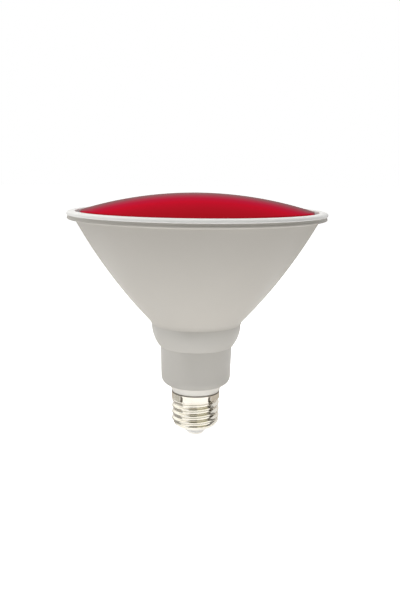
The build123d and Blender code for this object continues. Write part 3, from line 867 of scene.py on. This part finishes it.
def make_collar():
    """Bowl-shaped ring between the sleeve and the cone"""
    socket = SLEEVE_TOP_RADIUS + CLEARANCE
    throat = CUP_RADIUS + COLLAR_GAP
    inside = curve_radius(COLLAR_CURVE, CUP_TOP, COLLAR_WALL)
    side = curved_side(COLLAR_CURVE, COLLAR_BOTTOM, CONE_BOTTOM, steps=20)
    corners = rounded_last(side, 0.1) + [
        (inside, CONE_BOTTOM, 0.1),
        (inside, CUP_TOP, 0.1),
        (throat, CUP_TOP, 0.0),
        (throat, SLEEVE_TOP, 0.0),
        (socket, SLEEVE_TOP, 0.0),
        (socket, COLLAR_BOTTOM, 0.1),
    ]
    collar = turned_piece("collar_ring", corners, "neck_grey")
    stands_for(collar, "collar")
    work = bmesh.new()
    depth = (CONE_BOTTOM - CUP_TOP) * MM
    radius = SCREW_HEAD_RADIUS * MM
    round_bar = {"segments": BOSS_SIDES, "radius1": radius, "radius2": radius, "depth": depth}
    bmesh.ops.create_cone(work, cap_ends=True, **round_bar)
    base = mesh_from("collar_boss", work)
    middle = (CONE_BOTTOM + CUP_TOP) / 2
    bosses = ring_of_parts("collar_bosses", base, "neck_grey", [HOUSING_SCREW_RING], middle)
    stands_for(bosses, "collar")


def make_neck_sleeve():
    """Grey cup with a rounded bottom edge"""
    bore = CUP_RADIUS + CLEARANCE
    opening = FLARE_RADIUS + SEAT_GAP
    corners = arc_through(*SLEEVE_CURVE, steps=14) + [
        (opening, SLEEVE_BOTTOM, 0.1),
        (opening, CUP_FLOOR, 0.0),
        (bore, CUP_FLOOR, 0.0),
        (bore, SLEEVE_TOP, 0.1),
        (SLEEVE_TOP_RADIUS, SLEEVE_TOP, 0.1),
        (SLEEVE_TOP_RADIUS, COLLAR_BOTTOM, 0.0),
    ]
    sleeve = turned_piece("sleeve", corners, "neck_grey")
    stands_for(sleeve, "neck_sleeve")


def make_driver_cup():
    """White inner cup, whose flared neck shows between the sleeve and the cap"""
    groove = BAND_RADIUS - SHELL_WALL - STAKE_RADIUS - CLEARANCE
    seat = BAND_RADIUS - SHELL_WALL - CLEARANCE
    seat_bottom = SHELL_TOP - SHELL_SEAT_HEIGHT
    bore = SPIGOT_RADIUS - SPIGOT_WALL
    throat = FLARE_RADIUS - CUP_WALL - THROAT_STEP
    inside = CUP_RADIUS - CUP_WALL
    neck_foot = SHELL_TOP + JOINT_HEIGHT
    foot_radius = NECK_RADIUS - JOINT_DEPTH
    middle = (NECK_RADIUS + NECK_SWELL, NECK_MIDDLE)
    flare_top = (FLARE_RADIUS, SLEEVE_BOTTOM - FLARE_STEP)
    corners = arc_through((NECK_RADIUS, neck_foot), middle, flare_top, steps=14) + [
        (FLARE_RADIUS, CUP_FLOOR, 0.0),
        (CUP_RADIUS, CUP_FLOOR, 0.3),
        (CUP_RADIUS, CUP_TOP, 0.2),
        (inside, CUP_TOP, 0.2),
        (inside, CUP_LEDGE, 0.3),
        (throat, CUP_LEDGE, 0.2),
        (throat, SLEEVE_BOTTOM, 0.0),
        (bore, SHELL_TOP - THROAT_DEPTH, 0.0),
        (bore, SPIGOT_BOTTOM, 0.2),
        (SPIGOT_RADIUS, SPIGOT_BOTTOM, 0.2),
        (SPIGOT_RADIUS, THREAD_TOP - SPIGOT_SHOULDER, 0.0),
        (groove, THREAD_TOP - SPIGOT_SHOULDER / 2, 0.0),
        (groove, seat_bottom, 0.0),
        (seat, seat_bottom, 0.0),
        (seat, SHELL_TOP, 0.0),
        (foot_radius, SHELL_TOP, 0.0),
        (foot_radius, neck_foot, 0.0),
    ]
    cup = turned_piece("inner_cup", corners, "cup_white")
    stands_for(cup, "driver_cup")


def make_bezel_ring():
    """Pale rounded ring on the flange"""
    corners = [
        (LIP_RADIUS, FLANGE_TOP, 0.1),
        (BEZEL_RADIUS, FLANGE_TOP, 0.4),
        (BEZEL_RADIUS, LIP_TOP, BEZEL_SHOULDER),
        (LIP_RADIUS, LIP_TOP, 0.5),
    ]
    ring = turned_piece("bezel", corners, "bezel_pale")
    stands_for(ring, "bezel_ring")


def make_lens_gasket():
    """Sealing ring under the lens's foot and round its skirt"""
    foot = SEAT_HEIGHT + LENS_LIFT
    outside = RECESS_RADIUS - CLEARANCE / 2
    skirt = LENS_RADIUS + SEAT_GAP
    inside = SEAT_RADIUS + GASKET_STEP
    corners = [
        (inside, SEAT_HEIGHT, 0.05),
        (outside, SEAT_HEIGHT, 0.05),
        (outside, GASKET_TOP, 0.25),
        (skirt, GASKET_TOP, 0.25),
        (skirt, foot, 0.0),
        (inside, foot, 0.05),
    ]
    gasket = turned_piece("sealing_ring", corners, "gasket_grey")
    stands_for(gasket, "lens_gasket")


def make_lens():
    """Shallow dome with a rounded shoulder and a short upright skirt"""
    foot = SEAT_HEIGHT + LENS_LIFT
    skirt_inside = LENS_RADIUS - LENS_WALL
    outside = dome_side(LENS_APEX, LENS_CURVE, LENS_RADIUS, steps=26)
    inside = dome_side(LENS_APEX - LENS_WALL, LENS_CURVE - LENS_WALL, skirt_inside, steps=16)
    skirt = [(LENS_RADIUS, foot, 0.2), (skirt_inside, foot, 0.2)]
    corners = rounded_last(outside, LENS_SHOULDER) + skirt + inside[::-1]
    lens = turned_piece("lens_dome", corners, "lens_red")
    stands_for(lens, "lens")


def make_cap_insulator():
    """White plug that closes the shell's lower edge and carries the contact"""
    core = ROOT_RADIUS - SHELL_WALL + ROOT_FLAT
    seat = (SHELL_CURVE - SHELL_WALL - SEAT_GAP, core - SHELL_CURVE + SHELL_WALL, TURN_IN_HEIGHT)
    hole = RIVET_RADIUS + SEAT_GAP
    side = curved_side(seat, SHELL_BOTTOM, INSULATOR_TOP, steps=6)
    corners = side + [
        (hole, INSULATOR_TOP, 0.1),
        (hole, CONTACT_HEIGHT, 0.0),
        (CONTACT_RADIUS + INSULATOR_EDGE, CONTACT_HEIGHT, 0.6),
    ]
    plug = turned_piece("insulator_plug", corners, "insulator_white")
    stands_for(plug, "cap_insulator")


def make_centre_contact():
    """Domed button with a flat tip and a hollow rivet through the insulator"""
    head_top = INSULATOR_TOP + RIVET_HEAD_HEIGHT
    hollow = RIVET_RADIUS - RIVET_WALL
    corners = [
        (0.0, 0.0, 0.0),
        (CONTACT_RADIUS, 0.0, 0.6 * CONTACT_HEIGHT),
        (CONTACT_RADIUS, CONTACT_HEIGHT, 0.1),
        (RIVET_RADIUS, CONTACT_HEIGHT, 0.0),
        (RIVET_RADIUS, INSULATOR_TOP, 0.0),
        (RIVET_HEAD_RADIUS, INSULATOR_TOP, 0.0),
        (RIVET_HEAD_RADIUS - RIVET_HEAD_SLOPE, head_top, 0.15),
        (hollow, head_top, 0.0),
        (hollow, CONTACT_HEIGHT / 2, 0.0),
        (0.0, CONTACT_HEIGHT / 2, 0.0),
    ]
    button = turned_piece("contact_button", corners, "contact_metal")
    stands_for(button, "centre_contact")


def make_screw_shell():
    """The nickel-plated shell: rolled thread, smooth band and stake marks, open at both ends"""
    columns = []

    def add_side(inset, low, high, steps):
        """Adds one side of the sheet, from height to height, with its plain wall and its limit"""
        curve = SHELL_CURVE - inset
        core_radius = ROOT_RADIUS - inset + ROOT_FLAT
        core_curve = (curve, core_radius - SHELL_CURVE + inset, TURN_IN_HEIGHT)
        limit_curve = (curve, CREST_RADIUS + CLEARANCE - SHELL_CURVE, RUN_OUT_HEIGHT)
        for step in range(steps + 1):
            height = low + (high - low) * step / steps
            core = curve_radius(core_curve, min(height, TURN_IN_HEIGHT))
            limit = curve_radius(limit_curve, min(height, RUN_OUT_HEIGHT))
            rise = (height - THREAD_TOP + THREAD_SHOULDER) / THREAD_SHOULDER
            rise = min(max(rise, 0.0), 1.0)
            core += (BAND_RADIUS - inset - core_radius) * rise * rise * (3 - 2 * rise)
            threaded = 1.0 if height < THREAD_TOP else 0.0
            columns.append((limit, height, core * MM, inset * MM, threaded))

    add_side(0.0, SHELL_BOTTOM, SHELL_TOP, SHELL_OUTER_STEPS)
    add_side(SHELL_WALL, SHELL_TOP, SHELL_BOTTOM, SHELL_INNER_STEPS)
    base = section_mesh("screw_shell_section", [column[:2] for column in columns])
    for place, name in enumerate(("core", "inset", "threaded"), start=2):
        values = base.attributes.new(name, "FLOAT", "POINT")
        values.data.foreach_set("value", [column[place] for column in columns])
    shell = bake(
        "screw_shell_rolled",
        base,
        rolled_thread_tree(),
        steps=SHELL_TURNING_STEPS,
        stakes=STAKE_COUNT,
        material=FINISHES["shell_nickel"],
        pitch=THREAD_PITCH * MM,
        start=THREAD_START * MM,
        crest=CREST_RADIUS * MM,
        root=ROOT_RADIUS * MM,
        band=BAND_RADIUS * MM,
        stake_radius=STAKE_RADIUS * MM,
        stake_length=STAKE_LENGTH * MM,
        stake_height=STAKE_HEIGHT * MM,
        stake_angle=math.radians(STAKE_ANGLE),
        # Painted shade along the upper edge starts at this height
        dull_edge=(SHELL_TOP - DULL_EDGE) * MM,
    )
    stands_for(shell, "screw_shell")


def background_share(tree, fill):
    """1 for camera, glossy and transmission rays, and the fill for the light on the object"""
    wires = Wiring(tree)
    rays = wires.node("ShaderNodeLightPath").outputs
    mirrored = wires.math("MAXIMUM", rays["Is Glossy Ray"], rays["Is Transmission Ray"])
    seen = wires.math("MAXIMUM", rays["Is Camera Ray"], mirrored)
    return wires.plus(wires.times(seen, 1.0 - fill), fill)


def studio_lamp(name, place, size, power, upwards=False):
    """A soft square lamp that shiny surfaces don't see, aimed at the object or upwards"""
    light = bpy.data.lights.new(name, "AREA")
    light.shape = "SQUARE"
    light.size = size
    light.energy = power
    holder = add_object(name, light)
    holder.location = place
    holder.visible_camera = False
    holder.visible_glossy = False
    aim = Vector((0.0, 0.0, 1.0)) if upwards else LAMP_AIM - Vector(place)
    holder.rotation_euler = aim.to_track_quat("-Z", "Y").to_euler()


def heading(turn, distance, height):
    """A place in a direction, in degrees from the front towards the right"""
    angle = math.radians(turn)
    return (distance * math.sin(angle), -distance * math.cos(angle), height)


def upright(start, end, distance, low, high):
    """Corners of an upright card between two directions"""
    places = ((start, low), (end, low), (end, high), (start, high))
    return [heading(turn, distance, height) for turn, height in places]


def flat(start, end, near, far):
    """Corners of a card lying just above the floor between two directions"""
    places = ((start, near), (start, far), (end, far), (end, near))
    return [heading(turn, distance, CARD_LEVEL) for turn, distance in places]


# The studio, in metres and watts: each lamp's name, place, size and power
LAMP_AIM = Vector((0.0, 0.0, 0.07))
LAMPS = (
    ("top_lamp", (0.0, 0.0, 1.0), 0.8, 5.0),
    ("front_lamp", (0.0, -1.2, 0.16), 0.8, 2.0),
    ("key_lamp", (-0.8, -0.2, 0.75), 0.5, 2.4),
    ("right_lamp", (0.8, -0.15, 0.75), 0.5, 0.6),
    ("back_left_lamp", (-0.7, 0.7, 0.3), 0.6, 0.35),
    ("back_right_lamp", (0.7, 0.7, 0.3), 0.6, 0.35),
)

# Studio lamps just above the table that light the underside, in place of the white table
UPWARD_LAMPS = [("cap_lamp", (0.0, 0.0, 0.0005), 0.03, 0.0004)]
for direction in (0, 90, 180, 270):
    UPWARD_LAMPS.append(("table_lamp", heading(direction, 0.1, 0.001), 0.1, 0.069))

# Cards: upright ones by two directions, distance, lower and upper edge; flat ones by two
# directions and their nearest and farthest edge
CARD_LEVEL = 0.002
OLIVE = (0.18, 0.165, 0.09)
PALE_OLIVE = (0.58, 0.55, 0.35)
DARK = (0.05, 0.042, 0.028)
CEILING = (0.30, 0.28, 0.20)
GREY = (0.72, 0.70, 0.66)
SHADE = (0.46, 0.45, 0.43)
BEIGE = (0.66, 0.61, 0.55)
PALE_BEIGE = (0.70, 0.64, 0.58)
FAR_BEIGE = (0.50, 0.48, 0.44)
WHITE = (1.5, 1.48, 1.42)
CEILING_CORNERS = [(-1.2, -1.3, 1.6), (1.2, -1.3, 1.6), (1.2, 0.5, 1.6), (-1.2, 0.5, 1.6)]
CARDS = (
    ("front_card", upright(-32, 8, 1.2, 0.02, 1.6), OLIVE),
    ("front_right_card", upright(8, 64, 1.2, 0.02, 1.6), PALE_OLIVE),
    ("right_card", upright(67, 98, 0.8, 0.02, 1.0), DARK),
    ("right_near_card", flat(67, 98, 0.02, 0.065), DARK),
    ("right_floor_card", flat(58, 100, 0.065, 0.15), PALE_BEIGE),
    ("left_near_card", flat(-62, -140, 0.015, 0.065), SHADE),
    ("left_floor_card", flat(-62, -120, 0.065, 0.15), GREY),
    ("back_left_floor_card", flat(-120, -180, 0.02, 0.15), BEIGE),
    ("back_right_floor_card", flat(100, 180, 0.02, 0.15), BEIGE),
    ("front_floor_card", flat(-32, 8, 0.13, 1.2), OLIVE),
    ("back_left_far_card", flat(-120, -180, 0.28, 1.2), FAR_BEIGE),
    ("back_right_far_card", flat(100, 180, 0.28, 1.2), FAR_BEIGE),
    ("left_card", upright(-150, -60, 0.8, 0.13, 1.4), WHITE),
    ("ceiling_card", CEILING_CORNERS, CEILING),
)


def mirror_card(name, corners, colour):
    """A glowing card that only shiny surfaces see"""
    mesh = bpy.data.meshes.new(name)
    mesh.from_pydata(corners, [], [(0, 1, 2, 3)])
    card = add_object(name, mesh)
    material = bpy.data.materials.new(name)
    material.use_nodes = True
    nodes = material.node_tree.nodes
    wires = Wiring(material.node_tree)
    nodes.remove(nodes["Principled BSDF"])
    glow = wires.node("ShaderNodeEmission")
    wires.join((*colour, 1.0), glow.inputs["Color"])
    wires.join(glow.outputs["Emission"], nodes["Material Output"].inputs["Surface"])
    mesh.materials.append(material)
    card.visible_camera = False
    card.visible_diffuse = False
    card.visible_transmission = False
    card.visible_volume_scatter = False
    card.visible_shadow = False


def make_studio():
    """Pale floor, white surroundings, soft lamps and cards that only shiny surfaces see"""
    white = (1.0, 1.0, 1.0, 1.0)
    surrounding_fill = 0.25
    floor_glow = 0.8
    floor_size = 12.0
    floor_grey = (0.86, 0.86, 0.86, 1.0)
    world = bpy.data.worlds.new("studio")
    bpy.context.scene.world = world
    world.use_nodes = True
    wires = Wiring(world.node_tree)
    background = world.node_tree.nodes["Background"]
    wires.join(white, background.inputs["Color"])
    strength = background_share(world.node_tree, surrounding_fill)
    wires.join(strength, background.inputs["Strength"])

    bpy.ops.mesh.primitive_plane_add(size=floor_size, location=(0.0, 0.0, 0.0))
    floor = bpy.context.object
    floor.name = "floor"
    material = bpy.data.materials.new("floor_white")
    material.use_nodes = True
    wires = Wiring(material.node_tree)
    inputs = material.node_tree.nodes["Principled BSDF"].inputs
    wires.join(floor_grey, inputs["Base Color"])
    wires.join(0.9, inputs["Roughness"])
    wires.join(white, inputs["Emission Color"])
    seen = background_share(material.node_tree, 0.0)
    wires.join(wires.times(seen, floor_glow), inputs["Emission Strength"])
    floor.data.materials.append(material)

    for lamp in LAMPS:
        studio_lamp(*lamp)
    for lamp in UPWARD_LAMPS:
        studio_lamp(*lamp, upwards=True)
    for card in CARDS:
        mirror_card(*card)


def make_camera():
    """The photograph's camera: 0.37 m away, a little above the rim, looking down at the cap"""
    distance = 369.6 * MM
    height = 145.7 * MM
    aside = 1.94 * MM
    pitch = 0.186
    roll = 0.011
    sensor = 36.0
    focal_pixels = 686.0
    picture_height = 600.0
    data = bpy.data.cameras.new("camera")
    data.sensor_width = sensor
    data.lens = sensor * focal_pixels / picture_height
    data.clip_start = 0.01
    camera = add_object("camera", data)
    forward = Vector((0.0, math.cos(pitch), -math.sin(pitch)))
    level_up = Vector((0.0, math.sin(pitch), math.cos(pitch)))
    level_right = Vector((1.0, 0.0, 0.0))
    right = level_right * math.cos(roll) + level_up * math.sin(roll)
    up = level_up * math.cos(roll) - level_right * math.sin(roll)
    turn = Matrix((right, up, -forward)).transposed().to_4x4()
    camera.matrix_world = Matrix.Translation((aside, -distance, height)) @ turn
    bpy.context.scene.camera = camera


# Painted shade in the shell's stake marks and along its top edge
dull_marks(FINISHES["shell_nickel"])
# Painted light, shade and reflection on the lens, by its slant to the view
tint_lens(FINISHES["lens_red"])
make_camera()
make_studio()
dress_cad_nodes()
make_reflector_housing()
make_bezel_ring()
make_lens()
make_lens_gasket()
make_collar()
make_neck_sleeve()
make_driver_cup()
make_screw_shell()
make_cap_insulator()
make_centre_contact()
make_leds()

bpy.context.scene.view_settings.view_transform = "Standard"
